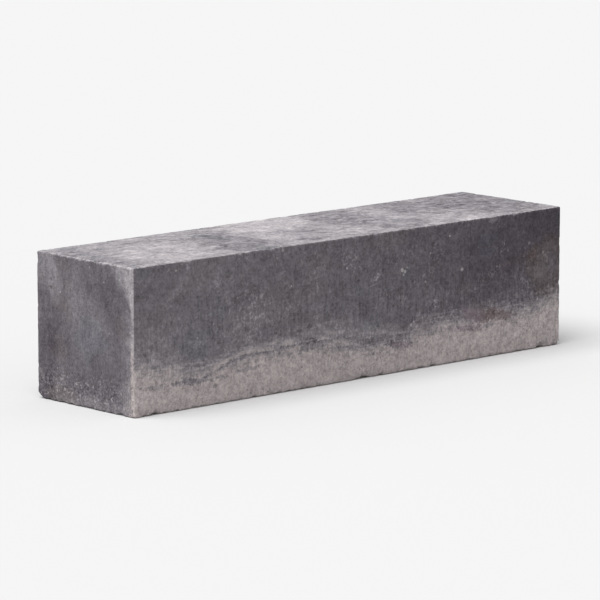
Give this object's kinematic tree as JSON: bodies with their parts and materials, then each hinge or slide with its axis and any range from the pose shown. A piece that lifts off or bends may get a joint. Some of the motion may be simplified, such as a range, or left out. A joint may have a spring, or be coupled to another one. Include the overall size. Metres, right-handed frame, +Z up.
{
  "type": "garden wall block",
  "caption": "Solid rectangular block of pressed grey and anthracite concrete with eased arrises, laid dry or glued in courses as a low garden wall, border or raised bed.",
  "frame": {"origin": "middle of the bed, the face that the block lies on", "axes": "+X along the course, to the right as seen from the show face; +Y from the show face through the wall to its back; +Z up, out of the top face"},
  "size_m": [0.6, 0.15, 0.15],
  "materials": {
    "concrete": "matte"
  },
  "bodies": {
    "root": {"wall_block": "concrete"}
  },
  "joints": []
}
